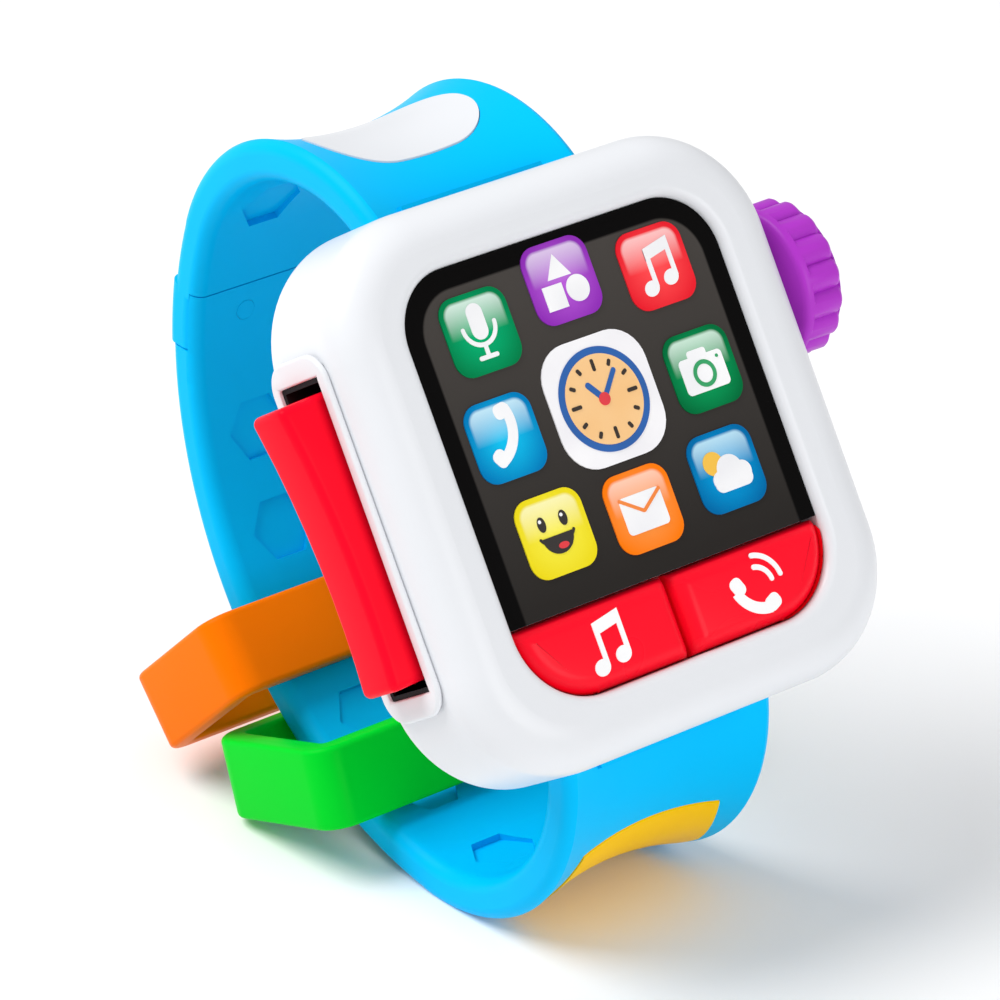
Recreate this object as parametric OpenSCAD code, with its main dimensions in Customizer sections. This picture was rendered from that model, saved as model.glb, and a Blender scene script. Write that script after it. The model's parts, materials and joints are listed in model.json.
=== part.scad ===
// Toy watch: a soft-edged case with a picture screen and two push buttons, a side rocker, a ribbed
// crown, and a dished two-piece strap that carries two loose ring tags. Millimetres.
// Pieces are drawn in the face frame (x right, y up the face, z out of the face, z = 0 on the rim)
// and stand() leans the watch back onto the foot of its strap.

/* [Case] */
// Width of the case
case_w = 73; // [70:0.5:80]
// Height of the case
case_h = 78; // [76:0.5:86]
// Depth of the case
case_d = 20.5; // [20.5:0.5:24]
// Corner radius of the case seen from the front
case_corner = 17; // [15:0.5:19]
// Rounding of the front edge
front_round = 6; // [4:0.5:7]
// Rounding of the back edge
back_round = 2.5; // [1.5:0.5:3]
// Wall thickness of both shells
wall = 2.2; // [1.8:0.1:2.6]
// Depth of the front shell, from the rim to the parting line
front_d = 9; // [8:0.25:9.5]
// Thickness of the front plate round the screen
plate_t = 5; // [4.5:0.25:5.5]
// How far the watch leans back when it stands, in degrees
lean = 32; // [28:0.5:36]

/* [Screen] */
// Width of the bay that holds the screen and the buttons
bay_w = 53; // [48:0.5:54]
// Height of the bay
bay_h = 60; // [58:0.5:61]
// Radius of the bay's top corners
bay_top_r = 9; // [6:0.5:11]
// Radius of the bay's bottom corners
bay_low_r = 11; // [8:0.5:11]
// Rounding of the rim round the bay
lip_r = 1.4; // [0.8:0.1:1.6]
// How far the window sits below the rim
window_sink = 1.2; // [0.8:0.1:1.5]
// Thickness of the window
window_t = 1.8; // [1.4:0.1:2]
// Thickness of the printed card behind the window
card_t = 0.4; // [0.3:0.1:0.5]
// Width of the ledge that carries the card and the window
ledge_w = 4; // [3:0.5:6]

/* [Buttons] */
// Height of the two push buttons
button_h = 11.6; // [11.6:0.1:13]
// Gap between the two push buttons
button_gap = 0.8; // [0.6:0.1:1.2]
// How far the button tops sit below the rim
button_sink = 0.3; // [0.1:0.1:0.8]
// Width of the slope round each button top
button_slope = 1.6; // [1:0.1:2.2]
// Travel of a push button
button_travel = 1.2; // [0.8:0.1:1.4]

/* [Rocker] */
// Length of the rocker
rocker_l = 40; // [36:0.5:42]
// Width of the rocker
rocker_w = 8.4; // [7:0.1:8.8]
// How far the rocker's ends stand out of the case wall
rocker_out = 6.5; // [5:0.25:8]
// Depth of the hollow along the rocker's outer face
rocker_dish = 1.3; // [0.6:0.1:1.8]
// Tilt of the rocker to either side, in degrees
rocker_tilt = 3; // [2:0.5:4]
// Radius of the rocker's pin
rocker_pin_r = 1.25; // [1:0.05:1.5]

/* [Crown] */
// Radius of the crown over its ribs
crown_r = 10.4; // [9:0.1:11]
// Thickness of the crown
crown_t = 8.6; // [7:0.1:10]
// Number of ribs on the crown
crown_ribs = 20; // [16:1:22]
// Height of the crown's axis above the middle of the case
crown_y = 14; // [13:0.5:15]
// Radius of the crown's shaft
crown_shaft_r = 2.4; // [2:0.1:2.8]

/* [Strap] */
// Width of the strap
strap_w = 36; // [32:0.5:38]
// Thickness of the strap at its rims
strap_t = 6; // [5.5:0.1:6.5]
// Depth of the dish along the strap's outer face
strap_dish = 2.8; // [2:0.1:3]
// Rounding of the strap's rims
strap_rim_r = 2; // [1:0.1:2.4]
// Height of the strap loop
loop_h = 113; // [112:0.5:118]
// Depth from the rim of the case to the back of the strap
loop_d = 83.5; // [80:0.5:88]
// Outer radius of the loop's top and bottom bends
bend_r = 30.5; // [30:0.25:31]
// Depth of the bends' centres behind the rim of the case
bend_d = 40; // [39.5:0.25:40.5]
// Depth of the flat that the strap stands on
foot_flat = 0.6; // [0.4:0.1:1]
// Thickness of the tongue in the strap's lap joint
tongue_t = 1.6; // [1.2:0.1:1.8]

/* [Tags] */
// Length of a ring tag, across the strap
tag_l = 55; // [50:0.5:60]
// Depth of a ring tag, through the strap
tag_d = 28; // [27:0.5:30]
// Height of a ring tag, along the strap
tag_h = 12; // [10:0.5:13]
// Wall of a ring tag
tag_wall = 4; // [3:0.25:4]
// Corner radius of a ring tag
tag_corner = 4.5; // [4.1:0.1:7]

/* [Batteries] */
// Diameter of a cell
cell_dia = 10.5; // [10:0.1:10.6]
// Length of a cell
cell_l = 44.5; // [40:0.5:45]

/* [Hidden] */
$fn = 64;

// Clearances: sliding pieces, seated pieces and turning shafts
slide_c = 0.2;
seat_c = 0.1;
turn_c = 0.06;
eps = 0.01;

// Levels behind the rim
back_in = -case_d + wall;
card_z = -window_sink - window_t - card_t;
flange_z = -plate_t - slide_c;
flange_t = 1.2;
board_top = flange_z - flange_t - button_travel - 1.8;
board_t = 1.6;

// Bay and button line
button_y = -bay_h / 2 + button_h + slide_c;
flange_grow = 1.2;
dome_x = bay_w / 4;
dome_y = -bay_h / 2 + button_h / 2;

// Case screws: a post near each corner
post_r = 3;
post_x = case_w / 2 - 8.5;
post_y = case_h / 2 - 8.5;
screw_r = 1.1;
screw_head_r = 2.2;
screw_head_t = 1.6;

// Battery bay in the upper half of the back shell
cell_gap = 0.7;
bay_wall = 1.2;
cell_r = cell_dia / 2;
cell_pitch = cell_dia + cell_gap;
cell_nub_r = 1.9;
cell_nub_l = 1;
tub_x = cell_l / 2 + 2.15;
tub_y = crown_y;
tub_half = cell_dia + cell_gap / 2 + 0.6;
door_t = 1.6;
cell_z = -case_d + door_t + 0.4 + cell_r;
tub_roof = cell_z + cell_r + 0.4;
door_ledge = 2;
door_tab_w = 10;
door_tab_h = 4.6;
door_screw_y = tub_y - tub_half - 3.8;
door_head_t = 0.6;
contact_t = 0.5;
contact_w = 7;

// Speaker in the lower half of the back shell
speaker_r = 11.6;
speaker_t = 4;
speaker_y = -17.8;
magnet_r = 6;
magnet_t = 2;
board_w = 46;
board_low = -32;
board_high = -5.5;
board_post_r = 2;
chip_x = board_w / 2 - 10;
chip_y = board_high - 4;
chip_t = 1.2;

// Rocker cassette in the left wall
slot_c = 0.2;
rocker_z = -12.4;
frame_rise = 1;
frame_in = 6;
frame_wall = 0.7;
well_t = 0.7;
slot_l = rocker_l + 2.4;
slot_w = rocker_w + 2 * slot_c;
well_l = slot_l + 2 * well_t;
well_w = slot_w + 2 * well_t;
frame_l = well_l + 2 * frame_wall;
frame_w = well_w + 2 * frame_wall;
flange_l = slot_l + 8;
flange_w = frame_w + 2.2;
pin_x = -case_w / 2 + 2.9;
frame_end = -case_w / 2 + frame_in;
rocker_tip = -case_w / 2 - rocker_out;

// Crown
crown_z = -13;
crown_gap = 0.8;
crown_rim_t = 4.8;
crown_face_t = 1;
crown_grip = 5;
rib_r = min(1.3, 0.94 * 3.14159 * (crown_r - 1.3) / crown_ribs);
crown_core_r = crown_r - rib_r;
crown_boss_r = 3.8;
crown_boss_in = case_w / 2 - wall - 1.8;
ratchet_t = 2.4;
ratchet_r = 4.8;
ratchet_x = crown_boss_in - 0.4 - ratchet_t;

// Strap: two bends and one back curve, all tangent, given as [y, z] centres
bend_y = loop_h / 2 - bend_r;
bend_z = -bend_d;
back_k = loop_d - bend_d;
back_r = (bend_y * bend_y + back_k * back_k - bend_r * bend_r) / (2 * (back_k - bend_r));
back_z = back_r - loop_d;
join_a = atan2(back_z - bend_z, bend_y);
case_a = 80;
dish_half = strap_w / 2 - strap_rim_r * 0.6;
dish_r = (dish_half * dish_half + strap_dish * strap_dish) / (2 * strap_dish);
join_lap = 0.6;
join_step = 0.04;
lap_a = 9;
lap_tip = -join_a - 10 - lap_a;
lap_root = lap_tip + lap_a;
lap_rise = 0.8;
lap_c = 0.2;
stud_r = 1.5;
stud_x = 9;
root_w = 24;
root_t = 4;
root_z = -case_d + wall + 0.8 + root_t / 2;
root_in = case_h / 2 - 7;
root_screw_x = 7;
root_screw_y = case_h / 2 - 4.6;

// Label and patch let into the dished outer face
inlay_t = 0.8;
inlay_proud = 0.2;
label_a = 26;
label_l = 26;
label_w = 17;
label_r = 8.2;
patch_a = 4;
patch_l = 30;
patch_w = 26;
patch_edge = 0.8;

// Stand: the origin is on the floor under the foot of the strap
floor_z = -bend_y * cos(lean) + bend_z * sin(lean) - bend_r + foot_flat;
foot_y = -bend_y * sin(lean) - bend_z * cos(lean);

// Ring tags round the back curve, seated on the strap with a small gap
tag_c = 0.25;
tag_in = tag_d / 2 - tag_wall;
tag_half = tag_h / 2;
outer_seat = back_r + tag_c;
inner_seat = back_r - strap_t - tag_c;

// Green tag: tipped until it bears on both faces of the strap, its rear edge on the floor
green_r = sqrt((outer_seat * outer_seat + inner_seat * inner_seat) / 2 - tag_in * tag_in - tag_half * tag_half);
green_lift = (outer_seat * outer_seat - inner_seat * inner_seat) / (4 * green_r);
green_turn = acos(green_lift / norm([tag_in, tag_half])) - atan2(tag_half, tag_in);
green_edge = [green_r + tag_d / 2 * cos(green_turn) + tag_half * sin(green_turn),
    tag_d / 2 * sin(green_turn) - tag_half * cos(green_turn)];
green_drop = acos((floor_z + tag_c - back_z * sin(lean)) / norm(green_edge));
green_a = lean - green_drop - atan2(green_edge[1], green_edge[0]);

// Orange tag: square to the strap, hung on its inner face above the green tag
orange_r = tag_in + sqrt(inner_seat * inner_seat - tag_half * tag_half);
orange_a = green_a + 19;

// Puts the face frame into the standing frame
module stand() {
    translate([0, -foot_y, -floor_z]) rotate([90 - lean, 0, 0]) children();
}

// Rectangle with one radius for the top corners and one for the bottom corners
module round_rect(w, h, top_r, low_r) {
    translate([-w / 2, -h / 2 + low_r]) square([w, h - top_r - low_r]);
    translate([-w / 2 + top_r, h / 2 - top_r]) square([w - 2 * top_r, top_r]);
    translate([-w / 2 + low_r, -h / 2]) square([w - 2 * low_r, low_r]);
    for (s = [-1, 1]) {
        translate([s * (w / 2 - top_r), h / 2 - top_r]) circle(top_r);
        translate([s * (w / 2 - low_r), -h / 2 + low_r]) circle(low_r);
    }
}

// Half section of a block's edge, from z0 up to z1, rounded at one end
module edge_section(r, z0, z1, round_r, at_top) {
    translate([0, z0]) square([r - round_r, z1 - z0]);
    translate([0, at_top ? z0 : z0 + round_r]) square([r, z1 - z0 - round_r]);
    translate([r - round_r, at_top ? z1 - round_r : z0 + round_r]) intersection() {
        circle(round_r);
        translate([-round_r / 2, at_top ? -eps : -round_r]) square([2 * round_r, round_r + eps]);
    }
}

// Block with round corners and one soft edge
module soft_block(w, h, r, z0, z1, round_r, at_top) {
    x = w / 2 - r;
    y = h / 2 - r;
    translate([-x, -y, z0]) cube([2 * x, 2 * y, z1 - z0]);
    for (q = [0:3]) {
        sx = (q == 0 || q == 3) ? 1 : -1;
        sy = q < 2 ? 1 : -1;
        translate([sx * x, sy * y, 0]) rotate([0, 0, 90 * q])
            rotate_extrude(angle = 90) edge_section(r, z0, z1, round_r, at_top);
        run = q % 2 == 0 ? 2 * y : 2 * x;
        reach = q % 2 == 0 ? x : y;
        rotate([0, 0, 90 * q]) translate([reach, run / 2, 0]) rotate([90, 0, 0])
            linear_extrude(run) edge_section(r, z0, z1, round_r, at_top);
    }
}

// Bay outline, grown or shrunk all round
module bay_outline(grow) {
    round_rect(bay_w + 2 * grow, bay_h + 2 * grow, bay_top_r + grow, bay_low_r + grow);
}

// Rounding cut from the rim round the bay
module lip_cut() {
    top = bay_top_r + lip_r;
    low = bay_low_r + lip_r;
    x = bay_w / 2 + lip_r;
    y = bay_h / 2 + lip_r;
    difference() {
        translate([0, 0, -lip_r]) linear_extrude(lip_r + eps) bay_outline(lip_r);
        translate([0, 0, -lip_r]) {
            for (s = [-1, 1]) {
                translate([s * x, low - y, 0]) rotate([-90, 0, 0]) cylinder(r = lip_r, h = 2 * y - top - low);
                translate([s * (x - top), y - top, 0]) rotate([0, 0, s > 0 ? 0 : 90])
                    rotate_extrude(angle = 90) translate([top, 0]) circle(lip_r);
                translate([s * (x - low), low - y, 0]) rotate([0, 0, s > 0 ? 270 : 180])
                    rotate_extrude(angle = 90) translate([low, 0]) circle(lip_r);
            }
            translate([top - x, y, 0]) rotate([0, 90, 0]) cylinder(r = lip_r, h = 2 * (x - top));
            translate([low - x, -y, 0]) rotate([0, 90, 0]) cylinder(r = lip_r, h = 2 * (x - low));
        }
    }
}

// Copies at the four case screws
module at_posts() {
    for (sx = [-1, 1], sy = [-1, 1]) translate([sx * post_x, sy * post_y, 0]) children();
}

// Window in the left wall that takes the rocker cassette
module rocker_window() {
    translate([-case_w / 2 - eps, -frame_l / 2 - seat_c, rocker_z - frame_w / 2 - seat_c])
        cube([frame_in + 1, frame_l + 2 * seat_c, frame_w + 2 * seat_c]);
}

// Front shell: soft front edge, screen bay, screw posts
module front_case() {
    color("white") difference() {
        union() {
            difference() {
                soft_block(case_w, case_h, case_corner, -front_d, 0, front_round, true);
                translate([0, 0, -front_d - eps]) linear_extrude(front_d - plate_t + eps)
                    round_rect(case_w - 2 * wall, case_h - 2 * wall, case_corner - wall, case_corner - wall);
            }
            at_posts() translate([0, 0, -front_d]) cylinder(r = post_r, h = front_d - plate_t + eps);
        }
        translate([0, 0, card_z]) linear_extrude(-card_z + 1) bay_outline(0);
        lip_cut();
        button_opening();
        lamp_opening();
        at_posts() translate([0, 0, -front_d - eps]) cylinder(r = screw_r, h = front_d - plate_t + 2);
        rocker_window();
    }
}

// Opening through the front plate for the two buttons
module button_opening() {
    translate([0, 0, -plate_t - eps]) linear_extrude(plate_t) intersection() {
        bay_outline(0);
        translate([-bay_w / 2, -bay_h / 2]) square([bay_w, button_h + slide_c]);
    }
}

// Opening in the ledge that lets the lamp shine on the card
module lamp_opening() {
    low = button_y + ledge_w;
    high = bay_h / 2 - bay_top_r;
    translate([-bay_w / 2 + bay_top_r, low, -plate_t - eps]) cube([bay_w - 2 * bay_top_r, high - low, plate_t]);
}

// Back shell: battery tub, screw posts, speaker ring, shaft boss and strap windows
module back_case() {
    color("white") difference() {
        union() {
            difference() {
                soft_block(case_w, case_h, case_corner, -case_d, -front_d, back_round, false);
                translate([0, 0, back_in]) linear_extrude(case_d)
                    round_rect(case_w - 2 * wall, case_h - 2 * wall, case_corner - wall, case_corner - wall);
            }
            back_bosses();
        }
        back_cuts();
    }
}

// Bosses that stand on the back wall
module back_bosses() {
    at_posts() translate([0, 0, back_in - eps]) cylinder(r = post_r, h = -front_d - back_in + eps);
    translate([-tub_x - bay_wall, tub_y - tub_half - bay_wall, back_in - eps])
        cube([2 * (tub_x + bay_wall), 2 * (tub_half + bay_wall), tub_roof + bay_wall - back_in]);
    translate([0, door_screw_y, back_in - eps]) cylinder(r = post_r, h = 6);
    translate([0, speaker_y, back_in - eps]) difference() {
        cylinder(r = speaker_r + seat_c + 1.2, h = 3);
        translate([0, 0, -eps]) cylinder(r = speaker_r + seat_c, h = 4);
    }
    for (s = [-1, 1]) {
        translate([s * (board_w / 2 - 4), board_low + 4, back_in - eps])
            cylinder(r = board_post_r, h = board_top - board_t - back_in + eps);
        translate([s * (board_w / 2 - 4), board_high - 4, back_in - eps])
            cylinder(r = board_post_r, h = board_top - board_t - back_in + eps);
        for (x = [-1, 1]) translate([x * root_screw_x, s * root_screw_y, back_in - eps])
            cylinder(r = 2.2, h = root_z - root_t / 2 - back_in + eps);
    }
    translate([crown_boss_in, crown_y, crown_z]) rotate([0, 90, 0])
        cylinder(r = crown_boss_r, h = case_w / 2 - wall - crown_boss_in + eps);
}

// Holes and openings through the back shell
module back_cuts() {
    at_posts() {
        translate([0, 0, -case_d - eps]) cylinder(r = screw_r + 0.4, h = case_d);
        translate([0, 0, -case_d - eps]) cylinder(r = screw_head_r + slide_c, h = screw_head_t + 0.4);
    }
    translate([-tub_x, tub_y - tub_half, -case_d - eps]) cube([2 * tub_x, 2 * tub_half, tub_roof + case_d]);
    translate([0, 0, -case_d - eps]) linear_extrude(door_t + eps) door_outline(slide_c);
    translate([0, door_screw_y, -case_d - eps]) cylinder(r = screw_r, h = 7);
    translate([0, speaker_y, -case_d - eps]) {
        cylinder(r = 1, h = wall + 1);
        for (a = [0:60:300]) rotate([0, 0, a]) translate([4.5, 0, 0]) cylinder(r = 1, h = wall + 1);
    }
    for (s = [-1, 1]) {
        translate([-root_w / 2 - seat_c, s * case_h / 2 - wall - 1, root_z - root_t / 2 - seat_c])
            cube([root_w + 2 * seat_c, 2 * wall + 2, root_t + 2 * seat_c]);
        for (x = [-1, 1]) translate([x * root_screw_x, s * root_screw_y, back_in - 1])
            cylinder(r = screw_r, h = 4);
    }
    translate([crown_boss_in - 1, crown_y, crown_z]) rotate([0, 90, 0])
        cylinder(r = crown_shaft_r + turn_c, h = case_w);
    rocker_window();
}

// Outline of the battery door with its screw tab
module door_outline(grow) {
    x = tub_x + door_ledge - slide_c + grow;
    y = tub_half + door_ledge - slide_c + grow;
    translate([-x, tub_y - y]) square([2 * x, 2 * y]);
    translate([-door_tab_w / 2 - grow, tub_y - y - door_tab_h]) square([door_tab_w + 2 * grow, door_tab_h + 1]);
}

// Clear window over the printed card
module screen_window() {
    color([0.08, 0.08, 0.09]) translate([0, 0, card_z + card_t]) linear_extrude(window_t) window_outline();
}

// Printed card behind the window
module screen_card() {
    color([0.2, 0.2, 0.2]) translate([0, 0, card_z]) linear_extrude(card_t) window_outline();
}

// Outline of the window: the bay above the button line
module window_outline() {
    intersection() {
        bay_outline(-seat_c);
        translate([-bay_w / 2, button_y + seat_c]) square([bay_w, bay_h]);
    }
}

// Outline of one button, shrunk or grown all round; side is -1 for the left one and 1 for the right one
module button_outline(side, grow) {
    intersection() {
        bay_outline(grow - slide_c);
        translate([side > 0 ? button_gap / 2 - min(grow, 0) : -bay_w, -bay_h])
            square([bay_w - button_gap / 2 + min(grow, 0), bay_h / 2 + button_h + grow]);
    }
}

// Push button: sloped cap and a flange that holds it in the case
module push_button(side) {
    color("crimson") {
        hull() {
            translate([0, 0, -button_sink - button_slope]) linear_extrude(eps) button_outline(side, 0);
            translate([0, 0, -button_sink - eps]) linear_extrude(eps) button_outline(side, -button_slope);
        }
        translate([0, 0, flange_z - flange_t])
            linear_extrude(-button_sink - button_slope - flange_z + flange_t) button_outline(side, 0);
        translate([0, 0, flange_z - flange_t]) linear_extrude(flange_t) button_outline(side, flange_grow);
    }
}

// Rubber domes under the buttons
module button_domes() {
    color("gainsboro") for (s = [-1, 1]) translate([s * dome_x, dome_y, board_top]) {
        cylinder(r = 4, h = 0.6);
        cylinder(r1 = 3, r2 = 2, h = 1.6, $fn = 48);
    }
}

// Circuit board behind the buttons
module circuit_board() {
    mid = (board_low + board_high) / 2;
    color("seagreen") translate([0, mid, board_top - board_t])
        linear_extrude(board_t) round_rect(board_w, board_high - board_low, 2, 2);
}

// Lamp that lights the card
module screen_lamp() {
    color("lemonchiffon") translate([0, board_high - 3, board_top]) {
        cylinder(r = 1.5, h = 1.2);
        translate([0, 0, 1.2]) intersection() {
            sphere(1.4);
            cylinder(r = 2, h = 2);
        }
    }
}

// Sound chip under its round cap on the back of the board
module sound_chip() {
    color("black") translate([chip_x, chip_y, board_top - board_t - chip_t])
        cylinder(r1 = 2.2, r2 = 3.2, h = chip_t);
}

// Speaker: frame and magnet in one turned shape
module speaker() {
    color("dimgray") translate([0, speaker_y, back_in + seat_c]) {
        cylinder(r = speaker_r, h = 1.4);
        cylinder(r1 = speaker_r - 1, r2 = magnet_r + 1, h = speaker_t, $fn = 64);
        cylinder(r = magnet_r, h = speaker_t + magnet_t);
    }
}

// Two cells side by side
module battery_cells() {
    color("goldenrod") for (s = [-1, 1])
        translate([-s * cell_l / 2, tub_y + s * cell_pitch / 2, cell_z]) rotate([0, 90 * s, 0]) {
            cylinder(r = cell_r, h = cell_l - cell_nub_l);
            cylinder(r = cell_nub_r, h = cell_l);
        }
}

// Contact plates at the ends of the cells, one sprung and one flat for each cell
module battery_contacts() {
    color("silver") for (sx = [-1, 1], sy = [-1, 1])
        translate([sx * (tub_x - contact_t / 2), tub_y + sy * cell_pitch / 2, cell_z]) {
            cube([contact_t, contact_w, contact_w], center = true);
            rotate([0, -90 * sx, 0]) cylinder(r1 = 3, r2 = 1.6, h = tub_x - contact_t / 2 - cell_l / 2 - seat_c);
        }
}

// Battery door with finger ribs
module battery_door() {
    color("white") difference() {
        translate([0, 0, -case_d]) linear_extrude(door_t - seat_c) door_outline(0);
        translate([0, door_screw_y, -case_d - eps]) cylinder(r = screw_r + 0.4, h = door_t + 1);
        translate([0, door_screw_y, -case_d - eps]) cylinder(r = screw_head_r + slide_c, h = door_head_t + 0.2);
        for (k = [-2:2]) translate([-8, tub_y + tub_half - 4 + k * 1.6, -case_d - eps]) cube([16, 0.8, 0.5]);
    }
}

// Screw with a domed pan head, its head at z = 0 and its tip along +z
module screw(length, head_t) {
    cylinder(r = screw_head_r, h = head_t);
    cylinder(r = screw_r - seat_c / 2, h = length);
}

// Screw that holds the battery door
module door_screw() {
    color("silver") translate([0, door_screw_y, -case_d + 0.1]) screw(6, door_head_t);
}

// Screws that hold the two shells together
module case_screws() {
    color("silver") at_posts() translate([0, 0, -case_d + 0.5]) screw(case_d - plate_t - 1, screw_head_t - 0.2);
}

// White frame that carries the rocker in the left wall
module rocker_frame() {
    x = -case_w / 2;
    color("white") difference() {
        union() {
            translate([x, 0, rocker_z]) rotate([0, -90, 0]) linear_extrude(frame_rise)
                round_rect(flange_w, flange_l, 4, 4);
            translate([x - eps, -frame_l / 2, rocker_z - frame_w / 2]) cube([frame_in + eps, frame_l, frame_w]);
        }
        translate([x - frame_rise - 1, -well_l / 2, rocker_z - well_w / 2])
            cube([frame_in + frame_rise + 2, well_l, well_w]);
        translate([pin_x, 0, rocker_z - frame_w]) cylinder(r = rocker_pin_r, h = 2 * frame_w);
    }
}

// Dark well inside the frame, open to the outside
module switch_well() {
    color("black") difference() {
        translate([-case_w / 2 - frame_rise / 2, -well_l / 2, rocker_z - well_w / 2])
            cube([frame_in + frame_rise / 2, well_l, well_w]);
        translate([-case_w / 2 - frame_rise, -slot_l / 2, rocker_z - slot_w / 2])
            cube([frame_in + frame_rise - well_t, slot_l, slot_w]);
        translate([pin_x, 0, rocker_z - frame_w]) cylinder(r = rocker_pin_r, h = 2 * frame_w);
    }
}

// Rocker, drawn level: long outline with a hollow outer face and a hub round its pin
module rocker_outline() {
    tip = rocker_tip - pin_x;
    hollow_r = (rocker_l * rocker_l / 4 + rocker_dish * rocker_dish) / (2 * rocker_dish);
    difference() {
        translate([tip, -rocker_l / 2]) square([-tip, rocker_l]);
        translate([tip + rocker_dish - hollow_r, 0]) circle(hollow_r, $fn = 128);
    }
    circle(rocker_pin_r + 0.9);
}

// Rocker at rest: tilted with its upper end out
module power_rocker() {
    color("red") translate([pin_x, 0, rocker_z - rocker_w / 2]) rotate([0, 0, rocker_tilt]) difference() {
        linear_extrude(rocker_w) rocker_outline();
        translate([0, 0, -1]) cylinder(r = rocker_pin_r + turn_c, h = rocker_w + 2);
    }
}

// Pin of the rocker
module rocker_pin() {
    color("silver") translate([pin_x, 0, rocker_z - frame_w / 2 + 0.2]) cylinder(r = rocker_pin_r, h = frame_w - 0.4);
}

// Switch that the rocker works, on the inner end of its frame
module power_switch() {
    color("dimgray") translate([frame_end, -6, rocker_z - slot_w / 2]) cube([3, 12, slot_w]);
}

// Crown: smooth cone towards the case, then a ribbed rim and a shallow round face
module crown_knob() {
    rib_z = crown_t - crown_face_t - crown_rim_t;
    color("darkorchid") translate([case_w / 2 + crown_gap, crown_y, crown_z]) rotate([0, 90, 0]) difference() {
        union() {
            cylinder(r1 = crown_r - 3, r2 = crown_core_r, h = rib_z + eps);
            translate([0, 0, rib_z]) cylinder(r = crown_core_r, h = crown_rim_t);
            translate([0, 0, rib_z + crown_rim_t - eps])
                cylinder(r1 = crown_core_r, r2 = crown_core_r - 2, h = crown_face_t + eps);
            for (k = [0:crown_ribs - 1]) rotate([0, 0, k * 360 / crown_ribs])
                translate([crown_core_r, 0, rib_z + 0.1]) cylinder(r = rib_r, h = crown_rim_t - 0.2);
        }
        translate([0, 0, -1]) cylinder(r = crown_shaft_r, h = crown_grip + 1);
    }
}

// Shaft of the crown
module crown_shaft() {
    color("silver") translate([ratchet_x, crown_y, crown_z]) rotate([0, 90, 0])
        cylinder(r = crown_shaft_r, h = case_w / 2 + crown_gap + crown_grip - ratchet_x);
}

// Notched wheel that holds the shaft in the case and clicks
module crown_ratchet() {
    color("ivory") translate([ratchet_x, crown_y, crown_z]) rotate([0, 90, 0]) difference() {
        cylinder(r = ratchet_r, h = ratchet_t);
        translate([0, 0, -1]) cylinder(r = crown_shaft_r, h = ratchet_t + 2);
        for (k = [0:11]) rotate([0, 0, 30 * k]) translate([ratchet_r, 0, -1]) cylinder(r = 0.6, h = ratchet_t + 2);
    }
}

// Leaf that clicks over the notched wheel, on the side of the battery tub
module click_leaf() {
    x = tub_x + bay_wall;
    z = crown_z + ratchet_r + 0.3;
    color("silver") {
        translate([x, crown_y - 6, z]) cube([ratchet_x + ratchet_t - x, 1, 1.4]);
        translate([ratchet_x, crown_y - 6, z]) cube([ratchet_t, 9, 0.4]);
    }
}

// Sweeps a section round a [y, z] centre, between two angles from +y towards +z
module sweep(centre, a0, a1) {
    translate([0, centre[0], centre[1]]) rotate([90, 0, 90]) rotate([0, 0, a0])
        rotate_extrude(angle = a1 - a0, $fn = 128) children();
}

// Frame at a point of a bend: z outward, y along the case's x
module outward(centre, a) {
    translate([0, centre[0], centre[1]]) rotate([90, 0, 90]) rotate([0, 0, a]) rotate([90, 0, 90]) children();
}

// Section of the strap, flat inside, dished outside, with round rims, set in all round by a small step
module strap_section(r_out, inset) {
    difference() {
        translate([r_out - strap_t / 2, 0])
            round_rect(strap_t - 2 * inset, strap_w - 2 * inset, strap_rim_r, strap_rim_r);
        translate([r_out + dish_r - strap_dish - inset, 0]) circle(dish_r, $fn = 128);
    }
}

// Section of a plain band between two radii, wider than the strap
module band_section(r0, r1) {
    translate([r0, -strap_w]) square([r1 - r0, 2 * strap_w]);
}

// Thin layer on the dished outer face, from below the face to just proud of it
module dish_layer(r_out, below, above) {
    intersection() {
        translate([r_out + dish_r - strap_dish, 0]) difference() {
            circle(dish_r + below, $fn = 128);
            circle(dish_r - above, $fn = 128);
        }
        translate([r_out - strap_t, -strap_w / 2]) square([strap_t, strap_w]);
    }
}

// Everything inside the case's outer walls
module case_envelope() {
    translate([-case_w / 2, -case_h / 2, -case_d]) cube([case_w, case_h, case_d + 5]);
}

// Root tab that holds one end of the strap in the case; side is 1 at the top and -1 at the bottom
module strap_root(side) {
    y0 = side > 0 ? root_in : -case_h / 2 - 1;
    translate([-root_w / 2, y0, root_z - root_t / 2]) cube([root_w, case_h / 2 + 1 - root_in, root_t]);
}

// Screw holes in a root tab
module root_holes(side) {
    for (x = [-1, 1]) translate([x * root_screw_x, side * root_screw_y, root_z - root_t])
        cylinder(r = screw_r + 0.3, h = 2 * root_t);
}

// Shallow six-sided grip pockets on the inside of the strap
module grips(centre, r_in, angles) {
    for (a = angles, s = [-1, 1]) outward(centre, a) translate([0, s * 8, r_in - 1])
        rotate([0, 0, 30]) cylinder(r = 5, h = 1.6, $fn = 6);
}

// Snap stud holes through the lap joint
module stud_holes(r) {
    for (s = [-1, 1]) outward([0, back_z], lap_tip + lap_a / 2) translate([0, s * stud_x, back_r - strap_t - 1])
        cylinder(r = r, h = strap_t + 2);
}

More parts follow.
